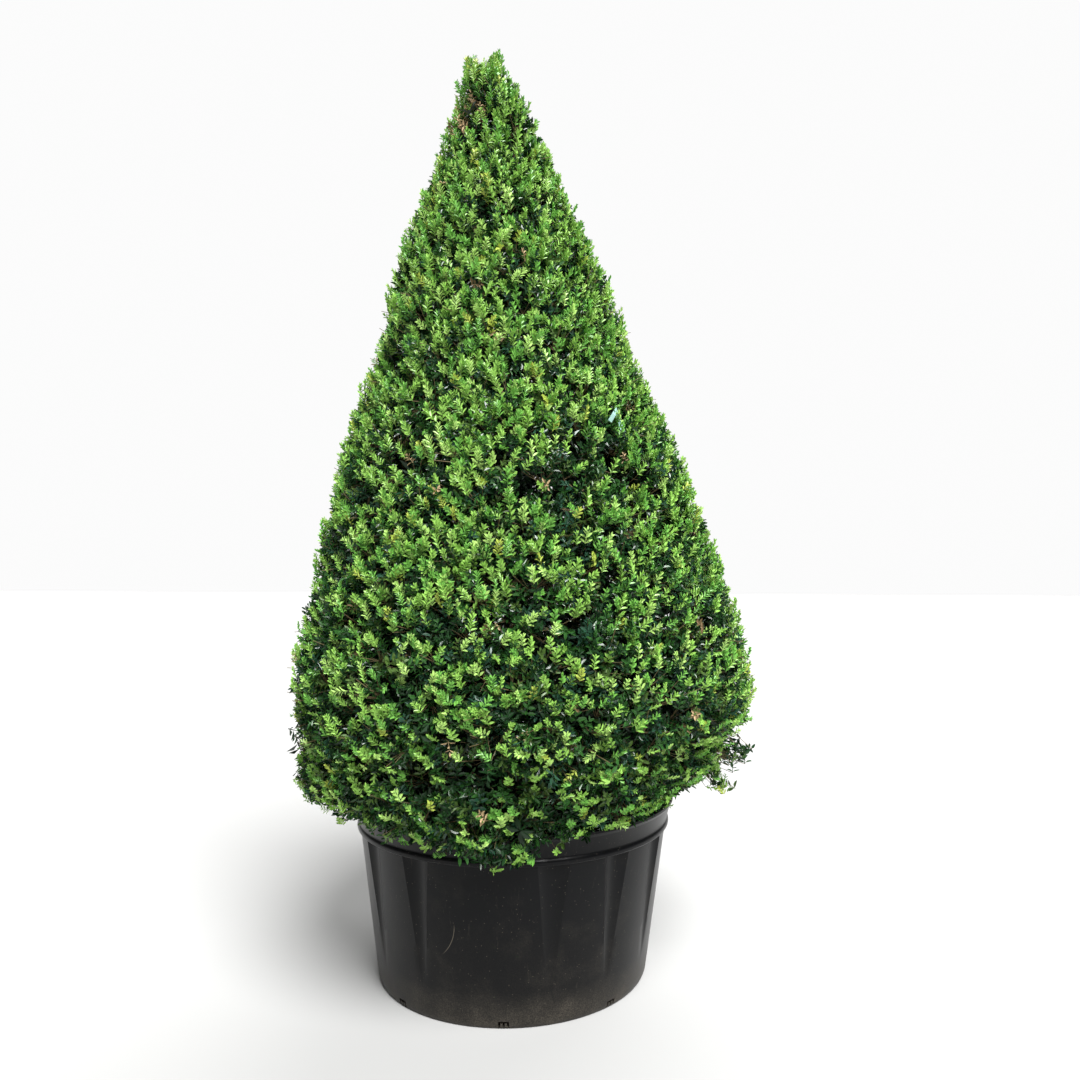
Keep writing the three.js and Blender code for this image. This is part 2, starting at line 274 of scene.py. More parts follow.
def run_tree(carrier, tree, values):
    """Runs a node tree on a carrier object and returns its result as a plain mesh."""
    modifier = carrier.modifiers.new(tree.name, "NODES")
    modifier.node_group = tree
    for item in tree.interface.items_tree:
        if item.in_out == "INPUT" and item.name in values:
            modifier[item.identifier] = values[item.name]
    return evaluated_mesh(carrier, carrier.name)


def carrier_of(name, points, edges=(), **attributes):
    """An object of loose points or edges that carries named values into a node tree."""
    mesh = bpy.data.meshes.new(name)
    mesh.from_pydata([tuple(point) for point in points], [tuple(edge) for edge in edges], [])
    for key, (kind, values) in attributes.items():
        attribute = mesh.attributes.new(key, kind, "POINT")
        attribute.data.foreach_set("value", np.asarray(values).ravel())
    carrier = bpy.data.objects.new(name, mesh)
    bpy.context.scene.collection.objects.link(carrier)
    return carrier


# ------------------------------------------------------------------ the crown's skin


@functools.cache
def crown_tree():
    """A search tree over all the foliage solids."""
    corners = np.concatenate([node_triangles(name) for name in all_foliage()])
    points = [Vector(point) for point in corners.reshape(-1, 3)]
    faces = [(i, i + 1, i + 2) for i in range(0, len(points), 3)]
    return BVHTree.FromPolygons(points, faces)


def all_foliage():
    return (*CROWN_NODES, *SKIRT_NODES, *SPRIG_NODES)


def is_open_skin(place, normal):
    """True where the air outside a mass isn't another mass or the bare hollow inside."""
    radius = math.hypot(place[0], place[1])
    pot_high = node_box("pot")[1]
    if radius < pot_high.x * 0.93 and place[2] < 2 * pot_high.z and normal[2] < 0.2:
        return False
    inward = place[0] * normal[0] + place[1] * normal[1] < -0.3 * radius
    if inward and place[2] < node_box("crown_cone")[0].z:
        return False
    probe = Vector(place) + Vector(normal) * 0.004
    hit, hit_normal, _, _ = crown_tree().find_nearest(probe)
    return (probe - hit).dot(hit_normal) > 0


def is_inside(place):
    hit, normal, _, _ = crown_tree().find_nearest(Vector(place))
    return (Vector(place) - hit).dot(normal) < 0.004


def skin_samples(name, per_m2, rng):
    """Even random places on a mass's open skin, with the way out at each."""
    corners = node_triangles(name)
    cross = np.cross(corners[:, 1] - corners[:, 0], corners[:, 2] - corners[:, 0])
    areas = np.linalg.norm(cross, axis=1) / 2
    count = rng.poisson(areas.sum() * per_m2)
    chosen = rng.choice(len(areas), count, p=areas / areas.sum())
    a, b = rng.random((2, count))
    flip = a + b > 1
    a[flip], b[flip] = 1 - a[flip], 1 - b[flip]
    first, second, third = (corners[chosen, i] for i in range(3))
    places = first + a[:, None] * (second - first) + b[:, None] * (third - first)
    normals = unit(cross[chosen])
    keep = [is_open_skin(place, normal) for place, normal in zip(places, normals)]
    return places[keep], normals[keep]


def swell(places, size, shift=0.0):
    """Smooth noise between -1 and 1, with patches of this size in metres."""
    offset = Vector((shift, 3.1 + shift, 7.7))
    return np.array([noise.noise(Vector(place) / size + offset) for place in places])


# ------------------------------------------------------------------ limbs, branches and twigs


def bezier(start, lift, pull, end, count):
    t = np.linspace(0, 1, count)[:, None]
    return (
        (1 - t) ** 3 * start + 3 * (1 - t) ** 2 * t * lift
        + 3 * (1 - t) * t ** 2 * pull + t ** 3 * end
    )


def limb_ends(name):
    """The middle of a CAD limb's lowest and highest parts."""
    points = node_points(name)
    height = points[:, 2]
    band = 0.012
    low = points[height < height.min() + band].mean(axis=0)
    high = points[height > height.max() - band].mean(axis=0)
    return low, high


def crown_reach(height, angle):
    """How far the crown reaches from its middle at a height, towards an angle."""
    middle = crown_middle(height)
    heading = Vector((math.cos(angle), math.sin(angle), 0))
    hit = crown_tree().ray_cast(Vector(middle) + heading * 3, -heading)[0]
    return (hit - Vector(middle)).length if hit else 0.05


@functools.cache
def crown_rings():
    """The middle of the crown at a row of heights, read from its solid."""
    points = node_points("crown_cone")
    points = points[points[:, 2] > node_box("crown_cone")[0].z + 0.01]
    heights = np.unique(points[:, 2].round(3))
    low, high = heights.min(), heights.max()
    rows = []
    for level in np.linspace(low, high, 13):
        near = points[np.abs(points[:, 2] - level) < (high - low) / 24]
        outer = near[np.hypot(near[:, 0], near[:, 1]) > 0.04]
        rows.append((level, (outer[:, 0].min() + outer[:, 0].max()) / 2))
    return np.array(rows)


def crown_middle(height):
    rows = crown_rings()
    return np.array([np.interp(height, rows[:, 0], rows[:, 1]), 0.0, height])


@functools.cache
def main_limbs():
    """The leader and the boughs, carried on from their CAD ends into the crown."""
    rng = np.random.default_rng(foliage().seed)
    high = limb_ends("leader")[1]
    tip_low, tip_high = node_box("crown_tip")
    tip = np.array([(tip_low.x + tip_high.x) / 2, 0.0, tip_high.z - 0.03])
    rise = tip[2] - high[2]
    path = bezier(high, high + UP * rise * 0.4, tip - UP * rise * 0.3, tip, 30)
    path[1:-1] += rng.normal(0, 0.006, (28, 3)) * [1, 1, 0]
    limbs = [(path, np.linspace(0.024, 0.003, 30))]
    for name in LIMB_NODES[2:]:
        low, high = limb_ends(name)
        along = unit(high - low)
        angle = math.atan2(high[1], high[0])
        height = high[2] + rng.uniform(0.3, 0.95)
        spread = 0.6 * crown_reach(height, angle)
        end = crown_middle(height)
        end[:2] += spread * np.array([math.cos(angle), math.sin(angle)])
        path = bezier(high, high + along * 0.15, end - UP * 0.25, end, 18)
        limbs.append((path, np.linspace(0.0125, 0.004, 18)))
    return limbs


def join_below(limbs, targets, rise):
    """For each target, the nearest place on the limbs, with places above it held back."""
    places = np.concatenate([path for path, _ in limbs])
    girths = np.concatenate([girth for _, girth in limbs])
    chosen = []
    for block in np.array_split(targets, max(1, len(targets) // 400)):
        gap = block[:, None] - places[None]
        distance = np.linalg.norm(gap, axis=2)
        flat = np.linalg.norm(gap[..., :2], axis=2)
        cost = distance + 0.9 * np.maximum(0, rise * flat - gap[..., 2])
        chosen.append(cost.argmin(axis=1))
    chosen = np.concatenate(chosen)
    return places[chosen], girths[chosen]


def grow(limbs, targets, girth, steps, rise, rng):
    """One limb to each target, leaving its parent outwards and ending upwards."""
    grown = []
    starts, parents = join_below(limbs, targets, rise)
    for start, parent, end in zip(starts, parents, targets):
        reach = np.linalg.norm(end - start)
        lift = start + (end - start) * 0.35 + rng.normal(0, 0.05, 3) * reach
        pull = end - (unit(end - start) * 0.25 + UP * 0.12) * reach
        path = bezier(start, lift, pull, end, steps + 1)
        first = min(girth[0], parent * 0.8)
        grown.append((path, np.linspace(first, girth[1], steps + 1)))
    return grown


def inner_targets(count, depth, rng):
    """Places a given depth under the crown's skin, but never past its middle."""
    names = (*CROWN_NODES[:2], *SKIRT_NODES)
    drawn = [skin_samples(name, 600, rng) for name in names]
    places = np.concatenate([place for place, _ in drawn])
    normals = np.concatenate([normal for _, normal in drawn])
    chosen = rng.permutation(len(places))[:count]
    places, normals = places[chosen], normals[chosen]
    middles = np.array([crown_middle(place[2]) for place in places])
    room = np.linalg.norm((places - middles)[:, :2], axis=1)
    sunk = np.minimum(rng.uniform(*depth, count), room * 0.6)
    return places - normals * sunk[:, None]


@functools.cache
def branches():
    rng = np.random.default_rng(foliage().seed + 1)
    targets = inner_targets(wood().branches, (0.12, 0.24), rng)
    return grow(main_limbs(), targets, (0.0055, 0.0025), 8, 0.6, rng)


@functools.cache
def twigs():
    rng = np.random.default_rng(foliage().seed + 2)
    targets = inner_targets(wood().twigs, (0.05, 0.1), rng)
    return grow([*main_limbs(), *branches()], targets, (0.0024, 0.0013), 3, 0.4, rng)


def twiglets(feet):
    """A thin twig from the nearest twig to the foot of each spray."""
    limbs = [*branches(), *twigs()]
    places = np.concatenate([path for path, _ in limbs])
    tree = KDTree(len(places))
    for i, place in enumerate(places):
        tree.insert(place, i)
    tree.balance()
    grown = []
    for foot in feet:
        near = tree.find_n(foot, 8)
        best = min(near, key=lambda found: found[2] + 0.7 * max(0, found[0].z - foot[2]))
        grown.append((np.array([best[0], foot]), np.array([0.0012, 0.0008])))
    return grown


def limb_tree(name):
    """Node tree: a tapering round limb along each path, with closed ends."""
    tree = bpy.data.node_groups.new(name, "GeometryNodeTree")
    face = tree.interface
    face.new_socket("Paths", in_out="INPUT", socket_type="NodeSocketGeometry")
    face.new_socket("Sides", in_out="INPUT", socket_type="NodeSocketInt")
    face.new_socket("Bark", in_out="INPUT", socket_type="NodeSocketMaterial")
    face.new_socket("Limbs", in_out="OUTPUT", socket_type="NodeSocketGeometry")
    given = add(tree, "NodeGroupInput")
    curves = add(tree, "GeometryNodeMeshToCurve", {"Mesh": given.outputs["Paths"]})
    girth = add(tree, "GeometryNodeInputNamedAttribute", {"Name": "girth"}, data_type="FLOAT")
    ring = add(tree, "GeometryNodeCurvePrimitiveCircle", {
        "Resolution": given.outputs["Sides"],
        "Radius": 1.0,
    })
    skin = add(tree, "GeometryNodeCurveToMesh", {
        "Curve": curves.outputs["Curve"],
        "Profile Curve": ring.outputs["Curve"],
        "Scale": girth.outputs["Attribute"],
        "Fill Caps": True,
    })
    real = add(tree, "GeometryNodeRealizeInstances", {"Geometry": skin.outputs["Mesh"]})
    finished = add(tree, "GeometryNodeSetMaterial", {
        "Geometry": real.outputs["Geometry"],
        "Material": given.outputs["Bark"],
    })
    add(tree, "NodeGroupOutput", {"Limbs": finished.outputs["Geometry"]})
    return tree


def limbs_mesh(name, limbs, sides, material):
    points = np.concatenate([path for path, _ in limbs])
    girths = np.concatenate([girth for _, girth in limbs])
    edges = []
    first = 0
    for path, _ in limbs:
        edges += [(i, i + 1) for i in range(first, first + len(path) - 1)]
        first += len(path)
    carrier = carrier_of(name, points, edges, girth=("FLOAT", girths))
    return run_tree(carrier, limb_tree(name), {"Sides": sides, "Bark": material})


# ------------------------------------------------------------------ leaves and sprays


def add_leaf(points, faces, root, along, up, length, width, few=False):
    """One leaf, folded along its midrib and bent down at its tip."""
    across = np.cross(up, along)
    fold = up * width * 0.22
    first = len(points)
    tip = root + along * length - up * length * 0.12
    if few:
        middle = root + along * length * 0.5 + fold
        points += [root, middle - across * width * 0.5, tip, middle + across * width * 0.5]
        faces += [(first, first + 1, first + 2), (first, first + 2, first + 3)]
        return
    belly = root + along * length * 0.36 + fold
    shoulder = root + along * length * 0.76 + fold * 0.7 - up * length * 0.04
    points += [
        root,
        belly - across * width * 0.5,
        shoulder - across * width * 0.38,
        tip,
        shoulder + across * width * 0.38,
        belly + across * width * 0.5,
    ]
    faces += [
        (first, first + 1, first + 2, first + 3),
        (first, first + 3, first + 4, first + 5),
    ]


def spray_mesh(name, rng, pairs, spacing, spread, flat, few=False, scale=1.0):
    """A shoot along Z with opposite leaves, its broad side towards +Y."""
    sizes = foliage()
    points, faces = [], []
    top = spacing * pairs
    stem = 0.0011 * scale
    for turn in range(3):
        angle = turn * math.tau / 3
        points.append(np.array([stem * math.cos(angle), stem * math.sin(angle), 0.0]))
    points.append(np.array([0, 0, top]))
    faces += [(0, 1, 3), (1, 2, 3), (2, 0, 3)]
    for pair in range(pairs + 1):
        last = pair == pairs
        progress = pair / pairs
        height = top if last else spacing * (pair + 0.35)
        opening = math.radians(18 if last else spread[0] + (spread[1] - spread[0]) * progress)
        turn = (pair % 2) * math.pi / 2 * (1 - flat) + rng.normal(0, 0.25)
        growth = (0.62 if last else 1 - 0.25 * progress ** 2) * scale
        for side in (0, math.pi):
            angle = turn + side + rng.normal(0, 0.12)
            out = np.array([math.cos(angle), math.sin(angle), 0.0])
            tilt = opening + rng.normal(0, 0.12)
            along = unit(out * math.sin(tilt) + UP * math.cos(tilt))
            face = UP * math.sin(tilt) - out * math.cos(tilt)
            face = face + np.array([0, 1.0, 0]) * (0.4 + 0.5 * flat)
            face = unit(face - along * face.dot(along))
            size = growth * rng.uniform(0.85, 1.12)
            root = np.array([0, 0, height]) + out * stem * 0.5
            add_leaf(
                points, faces, root, along, face,
                sizes.leaf_length * size, sizes.leaf_width * size, few,
            )
    return mesh_of(name, points, faces)


# Each kind of spray: how many drawn shapes, leaf pairs, gap between pairs in metres,
# opening of the leaves from foot to tip in degrees, flatness, and leaf size. A leaf
# of the inner sprays is large and has only two triangles.
SPRAYS = {
    "new": dict(shapes=7, pairs=5, spacing=0.0062, spread=(52, 26), flat=0.45, scale=0.95),
    "old": dict(shapes=7, pairs=4, spacing=0.0085, spread=(68, 42), flat=0.3, scale=1.12),
    "deep": dict(shapes=4, pairs=4, spacing=0.012, spread=(75, 50), flat=0.2, scale=1.9,
                 few=True),
    "dead": dict(shapes=3, pairs=3, spacing=0.007, spread=(80, 50), flat=0.1, scale=0.85),
}


def spray_collection(kind, material):
    """The drawn shapes of one kind of spray, kept out of the scene."""
    rule = dict(SPRAYS[kind])
    rng = np.random.default_rng(foliage().seed + 50 + len(kind))
    collection = bpy.data.collections.new(f"{kind}_sprays")
    for number in range(rule.pop("shapes")):
        name = f"{kind}_spray_{number}"
        mesh = spray_mesh(name, rng, **rule)
        mesh.materials.append(material)
        collection.objects.link(bpy.data.objects.new(name, mesh))
    return collection


def spray_tree(name, tints):
    """Node tree: one drawn spray at each point, with its tint as a plain material."""
    tree = bpy.data.node_groups.new(name, "GeometryNodeTree")
    face = tree.interface
    face.new_socket("Feet", in_out="INPUT", socket_type="NodeSocketGeometry")
    face.new_socket("Sprays", in_out="INPUT", socket_type="NodeSocketCollection")
    for number in range(tints):
        face.new_socket(f"Tint {number}", in_out="INPUT", socket_type="NodeSocketMaterial")
    face.new_socket("Leaves", in_out="OUTPUT", socket_type="NodeSocketGeometry")
    given = add(tree, "NodeGroupInput")
    shapes = add(tree, "GeometryNodeCollectionInfo", {
        "Collection": given.outputs["Sprays"],
        "Separate Children": True,
        "Reset Children": True,
    })
    shape = add(tree, "GeometryNodeInputNamedAttribute", {"Name": "shape"}, data_type="INT")
    turn = add(tree, "GeometryNodeInputNamedAttribute", {"Name": "turn"},
               data_type="QUATERNION")
    size = add(tree, "GeometryNodeInputNamedAttribute", {"Name": "size"}, data_type="FLOAT")
    tint = add(tree, "GeometryNodeInputNamedAttribute", {"Name": "tint"}, data_type="INT")
    dealt = add(tree, "GeometryNodeInstanceOnPoints", {
        "Points": given.outputs["Feet"],
        "Instance": shapes.outputs["Instances"],
        "Pick Instance": True,
        "Instance Index": shape.outputs["Attribute"],
        "Rotation": turn.outputs["Attribute"],
        "Scale": size.outputs["Attribute"],
    })
    real = add(tree, "GeometryNodeRealizeInstances", {"Geometry": dealt.outputs["Instances"]})
    leaves = real.outputs["Geometry"]
    for number in range(tints):
        chosen = add(tree, "FunctionNodeCompare", data_type="INT", operation="EQUAL")
        tree.links.new(tint.outputs["Attribute"], chosen.inputs["A"])
        chosen.inputs["B"].default_value = number
        painted = add(tree, "GeometryNodeSetMaterial", {
            "Geometry": leaves,
            "Selection": chosen.outputs["Result"],
            "Material": given.outputs[f"Tint {number}"],
        })
        leaves = painted.outputs["Geometry"]
    add(tree, "NodeGroupOutput", {"Leaves": leaves})
    return tree


def leaf_material(name, colour, roughness):
    """Waxy boxwood leaf: a plain dielectric skin, sharp enough for small glints."""
    material, tree, surface = new_material(name)
    shader = add(tree, "ShaderNodeBsdfPrincipled", {
        "Base Color": opaque(colour),
        "Roughness": roughness,
        "IOR": 1.45,
    })
    tree.links.new(shader.outputs["BSDF"], surface)
    return material


@functools.cache
def tints(kind):
    """The plain leaf materials of one kind, and the share of the sprays that get each."""
    own = foliage()
    if kind == "new":
        dealt = (
            ("new leaf green", own.new_green, 0.34, 0.48),
            ("new leaf fresh green", own.new_fresh, 0.34, 0.33),
            ("new leaf light", own.new_light, 0.36, 0.15),
            ("new leaf yellow", own.new_yellow_glow, 0.38, 0.04),
        )
    elif kind == "dead":
        dealt = (
            ("dried leaf tan", own.dead_tan, 0.75, 0.5),
            ("dried leaf brown", own.dead_brown, 0.75, 0.5),
        )
    elif kind == "old":
        dealt = (
            ("old leaf green", own.old_green, 0.26, 0.36),
            ("old leaf dark", own.old_dark, 0.28, 0.36),
            ("old leaf blue-green", own.old_blue, 0.24, 0.16),
            ("old leaf olive", own.old_olive, 0.36, 0.12),
        )
    else:
        # The inner sprays lie deep in the crown, where there is only shade: their leaves get the
        # old dark green dimmed to 0.4 and 0.8 of it, a painted shade.
        dealt = (
            ("inner leaf dark", [value * 0.4 for value in own.old_dark], 0.5, 0.8),
            ("inner leaf green", [value * 0.8 for value in own.old_dark], 0.45, 0.2),
        )
    materials = [leaf_material(name, colour, rough) for name, colour, rough, _ in dealt]
    return materials, np.array([share for *_, share in dealt])


# How each kind lies: how far its tip is sunk under the skin in metres (from, to), and
# how strongly it points outwards, upwards and astray.
LAY = {
    "new": dict(sunk=(-0.006, 0.02), outward=0.6, upward=0.7, stray=0.33),
    "old": dict(sunk=(0.004, 0.042), outward=0.75, upward=0.3, stray=0.5),
    "deep": dict(sunk=(0.045, 0.11), outward=0.8, upward=0.1, stray=0.8),
    "dead": dict(sunk=(-0.002, 0.03), outward=0.5, upward=0.0, stray=0.9),
}


# A worn patch near the tip, where the twigs are bare and brown: its middle and its reach.
WORN_PATCH = np.array([-0.16, -0.09, 2.37])
WORN_REACH = 0.085
# Places for dried sprays on a square metre; only in the worn patch are many of them used.
DEAD_PER_M2 = 2600


def in_tuft(places):
    """True for places at the very top, where the shoots stand upright."""
    return places[:, 2] > node_box("crown_tip")[1].z - 0.05


def spray_length(kind):
    rule = SPRAYS[kind]
    return rule["spacing"] * rule["pairs"] + foliage().leaf_length * 0.6 * rule["scale"]


def lay_sprays(kind, places, normals, rng):
    """Foot, turn, size, shape and tint of a spray under each place on the skin."""
    count = len(places)
    rule = LAY[kind]
    middles = np.array([crown_middle(place[2]) for place in places])
    room = np.linalg.norm((places - middles)[:, :2], axis=1)
    sunk = rng.uniform(*rule["sunk"], count)
    sunk = np.where(sunk > 0, np.minimum(sunk, room * 0.7), sunk)
    sunk += 0.032 * np.maximum(0, swell(places, 0.055)) * (kind != "deep")
    # Low over the rim the sprays stand further out.
    sunk -= 0.016 * (places[:, 2] < 0.62) * (kind != "deep")
    heading = unit(
        normals * rule["outward"] + UP * rule["upward"] + rng.normal(0, rule["stray"], (count, 3))
    )
    # Towards the tip the shoots stand more and more upright.
    upright = 1.2 * np.clip((places[:, 2] - 2.1) / 0.4, 0, 1) + 1.8 * in_tuft(places)
    heading = unit(heading + UP * upright[:, None])
    inward = np.maximum(0, 0.3 - (heading * normals).sum(axis=1)) * ~in_tuft(places)
    heading = unit(heading + normals * inward[:, None])
    size = rng.uniform(0.82, 1.2, count)
    if kind == "new":
        # Lower down the new shoots are smaller.
        size *= 1 - 0.16 * np.clip((1.5 - places[:, 2]) / 0.8, 0, 1)
    feet = places - normals * sunk[:, None] - heading * (size * spray_length(kind))[:, None]
    facing = normals + rng.normal(0, 0.35, (count, 3))
    facing = unit(facing - heading * (facing * heading).sum(axis=1, keepdims=True))
    turns = [
        Matrix((np.cross(y, z), y, z)).transposed().to_quaternion()
        for y, z in zip(facing, heading)
    ]
    shares = tints(kind)[1]
    laid = {
        "feet": feet,
        "turn": np.array([tuple(turn) for turn in turns]).reshape(-1, 4),
        "size": size,
        "shape": rng.integers(0, SPRAYS[kind]["shapes"], count),
        "tint": rng.choice(len(shares), count, p=shares / shares.sum()),
    }
    # Where the crown is narrow, a spray rooted in the air beyond it is left out.
    rooted = [place[2] < 2.0 or is_inside(foot) for place, foot in zip(places, feet)]
    return {key: values[rooted] for key, values in laid.items()}


def spray_places(kind, nodes, rng):
    """Where on the open skin one kind of spray grows."""
    own = foliage()
    per_m2 = {
        "new": own.new_per_m2,
        "old": own.old_per_m2,
        "deep": own.deep_per_m2,
        "dead": DEAD_PER_M2,
    }
    places, normals = [], []
    for name in nodes:
        if kind == "deep" and (name in SPRIG_NODES or name.startswith("tuft")):
            continue
        crowding = 1.0
        if name.startswith("tuft") and kind == "new":
            crowding = 3.0
        elif name in SPRIG_NODES:
            crowding = 2.0
        elif name in SKIRT_NODES and kind == "old":
            crowding = 1.3
        found, outward = skin_samples(name, per_m2[kind] * crowding, rng)
        if not len(found):
            continue
        worn = np.linalg.norm(found - WORN_PATCH, axis=1) < WORN_REACH
        if kind == "new":
            # New growth stands in clumps, and thins out lower down.
            chance = 0.66 + 0.9 * swell(found, 0.05) + 0.65 * swell(found, 0.2, 5)
            chance += np.clip(0.46 * (found[:, 2] - 1.25), -0.4, 0.34)
            chance[worn] *= 0.15
        elif kind == "dead":
            chance = np.where(worn, 0.4, 0.006)
        else:
            chance = np.where(worn, 0.35, 1.0)
        if name in SPRIG_NODES:
            chance = chance * 0.9
        if name.startswith("tuft"):
            chance = chance * (0.2 if kind == "old" else 1.6)
        elif name == "crown_tip":
            chance = chance * (0.55 if kind in ("old", "deep") else 1.3)
        keep = rng.random(len(found)) < chance
        places.append(found[keep])
        normals.append(outward[keep])
    return np.concatenate(places), np.concatenate(normals)


GROUPS = {"crown": CROWN_NODES, "skirt": (*SKIRT_NODES, *SPRIG_NODES)}


@functools.cache
def sprays(kind, group):
    rng = np.random.default_rng([foliage().seed, len(kind), len(group), 7])
    places, normals = spray_places(kind, GROUPS[group], rng)
    return lay_sprays(kind, places, normals, rng)


def deal_out(name, laid, shapes, tree, materials):
    """One mesh with a drawn shape at each place."""
    carrier = carrier_of(
        name,
        laid["feet"],
        turn=("QUATERNION", laid["turn"]),
        size=("FLOAT", laid["size"]),
        shape=("INT", laid["shape"]),
        tint=("INT", laid["tint"]),
    )
    values = {f"Tint {number}": material for number, material in enumerate(materials)}
    return run_tree(carrier, tree, {"Sprays": shapes, **values})


def drop_collection(shapes):
    for shape in list(shapes.objects):
        mesh = shape.data
        bpy.data.objects.remove(shape)
        bpy.data.meshes.remove(mesh)
    bpy.data.collections.remove(shapes)


def leaves_in_pieces(kind, group):
    """The sprays of one kind, joined into pieces round the crown."""
    laid = sprays(kind, group)
    materials, _ = tints(kind)
    shapes = spray_collection(kind, materials[0])
    each = max(len(shape.data.loops) - 2 * len(shape.data.polygons) for shape in shapes.objects)
    parts = max(1, math.ceil(len(laid["feet"]) * each / MOST_TRIANGLES))
    order = np.argsort(np.arctan2(laid["feet"][:, 1], laid["feet"][:, 0]))
    tree = spray_tree(f"{kind} sprays", len(materials))
    for part, chosen in enumerate(np.array_split(order, parts)):
        name = f"{group}_{kind}_leaves_{part + 1}"
        some = {key: values[chosen] for key, values in laid.items()}
        mesh = deal_out(name, some, shapes, tree, materials)
        place_piece(name, mesh, GROUPS[group])
    drop_collection(shapes)


# Where the tag hangs: degrees round from the front towards +X, and height in metres. Its
# outline is a strip folded over a twig, an upturned V, in metres across and up from the fold.
TAG_ANGLE = 34.0
TAG_HEIGHT = 1.487
TAG_LINE = ((-0.017, -0.03), (-0.009, -0.013), (0.0, 0.0), (0.012, -0.016), (0.021, -0.034),
            (0.026, -0.052))
TAG_WIDTH = 0.012


def tag_mesh():
    """A blank grower's tag of thin film, half sunk in the leaves."""
    angle = math.radians(TAG_ANGLE)
    line = Vector((-math.sin(angle), math.cos(angle), 0))
    middle = Vector((0, 0, TAG_HEIGHT)) - line * 2
    middle = crown_tree().ray_cast(middle, line)[0] + line * 0.012
    across = Vector((line.y, -line.x, 0))
    points = []
    for number, (side, rise) in enumerate(TAG_LINE):
        near = TAG_LINE[max(number - 1, 0)]
        far = TAG_LINE[min(number + 1, len(TAG_LINE) - 1)]
        run = Vector((far[0] - near[0], far[1] - near[1])).normalized()
        bulge = -line * 0.006 * math.sin(number * 1.3)
        for half in (-0.5, 0.5):
            for skin in (0.0, 0.0004):
                a = side - run.y * half * TAG_WIDTH
                b = rise + run.x * half * TAG_WIDTH
                points.append(middle + across * a + Vector((0, 0, b)) + bulge - line * skin)
    faces = [(0, 1, 3, 2)]
    for number in range(len(TAG_LINE) - 1):
        low = number * 4
        for a, b in ((0, 1), (1, 3), (3, 2), (2, 0)):
            faces.append((low + a, low + 4 + a, low + 4 + b, low + b))
    low = (len(TAG_LINE) - 1) * 4
    faces.append((low, low + 2, low + 3, low + 1))
    mesh = mesh_of("blank_tag", points, faces)
    shape = bmesh.new()
    shape.from_mesh(mesh)
    bmesh.ops.recalc_face_normals(shape, faces=shape.faces)
    shape.to_mesh(mesh)
    shape.free()
    return mesh


# ------------------------------------------------------------------ wood


def bark_material(colour, twig_colour):
    """Boxwood bark: matt, corky and pale, broken by fine fissures along the limb."""
    material, tree, surface = new_material("corky boxwood bark")
    place = add(tree, "ShaderNodeTexCoord").outputs["Object"]
    stretched = add(tree, "ShaderNodeMapping", {"Vector": place, "Scale": (1, 1, 0.22)})
    fissures = add(tree, "ShaderNodeTexNoise", {
        "Vector": stretched.outputs["Vector"],
        "Scale": per_mm(5),
        "Detail": 6,
        "Roughness": 0.6,
    })
    shade = add(tree, "ShaderNodeMix", {
        "Factor": fissures.outputs["Fac"],
        "A": opaque(twig_colour),
        "B": opaque(colour),
    }, data_type="RGBA")
    bump = add(tree, "ShaderNodeBump", {
        "Height": fissures.outputs["Fac"],
        "Strength": 0.5,
        "Distance": 0.002,
    })
    shader = add(tree, "ShaderNodeBsdfPrincipled", {
        "Roughness": 0.85,
        "Normal": bump.outputs["Normal"],
    })
    tree.links.new(shade.outputs["Result"], shader.inputs["Base Color"])
    tree.links.new(shader.outputs["BSDF"], surface)
    return material


def twig_material(name, colour):
    """Thin young wood, too small to show more than its colour."""
    return leaf_material(name, colour, 0.7)


def bark_mesh(name):
    """A CAD limb with its bark's relief."""
    shape = bmesh.new()
    shape.from_mesh(frame["nodes"][name].data)
    bmesh.ops.remove_doubles(shape, verts=shape.verts, dist=1e-5)
    bmesh.ops.subdivide_edges(shape, edges=shape.edges, cuts=3, use_grid_fill=True)
    bmesh.ops.smooth_vert(shape, verts=shape.verts, factor=0.5, use_axis_x=True,
                          use_axis_y=True, use_axis_z=False)
    shape.normal_update()
    relief = 0.0025
    for vertex in shape.verts:
        x, y, z = vertex.co
        grain = noise.noise(Vector((x * 90, y * 90, z * 22)))
        knots = noise.noise(Vector((x * 30, y * 30, z * 30 + 4)))
        vertex.co += vertex.normal * relief * (grain + 0.8 * knots - 0.6)
    mesh = bpy.data.meshes.new(f"{name}_bark")
    shape.to_mesh(mesh)
    shape.free()
    mesh.shade_smooth()
    return mesh


# ------------------------------------------------------------------ pot and soil

FLUTES = 15
FIRST_FLUTE = 13.0
PLAIN_PLACE = FLUTES - 1
FLUTE_HALF = (1.2, 5.5)          # degrees, at the flute's foot and top
FLUTE_HEIGHTS = (0.09, 0.398)
FOOT_RADIUS = 0.365
WALL_TOP_RADIUS = 0.418


def wall_radius(height):
    return FOOT_RADIUS + (WALL_TOP_RADIUS - FOOT_RADIUS) * height / FLUTE_HEIGHTS[1]


def pot_ring(radius, height, depth=0.0):
    """One ring of the pot with the flutes pressed in: hollow in section, sharp at the sides."""
    low, high = FLUTE_HEIGHTS
    t = min(max((height - low) / (high - low), 0), 1)
    half = FLUTE_HALF[0] + (FLUTE_HALF[1] - FLUTE_HALF[0]) * t
    pitch = 360 / FLUTES
    panel = np.linspace(half, pitch - half, 11)[1:-1]
    hollow = np.linspace(-half, half, 13)
    offsets = np.concatenate([hollow, panel])
    pressed = np.concatenate([1 - (hollow / half) ** 2, np.zeros(len(panel))])
    ring = []
    for flute in range(FLUTES):
        deep = 0 if flute == PLAIN_PLACE else depth * t
        for offset, share in zip(offsets, pressed):
            angle = math.radians(FIRST_FLUTE + flute * pitch + offset)
            reach = radius - deep * share
            ring.append((reach * math.sin(angle), -reach * math.cos(angle), height))
    return ring


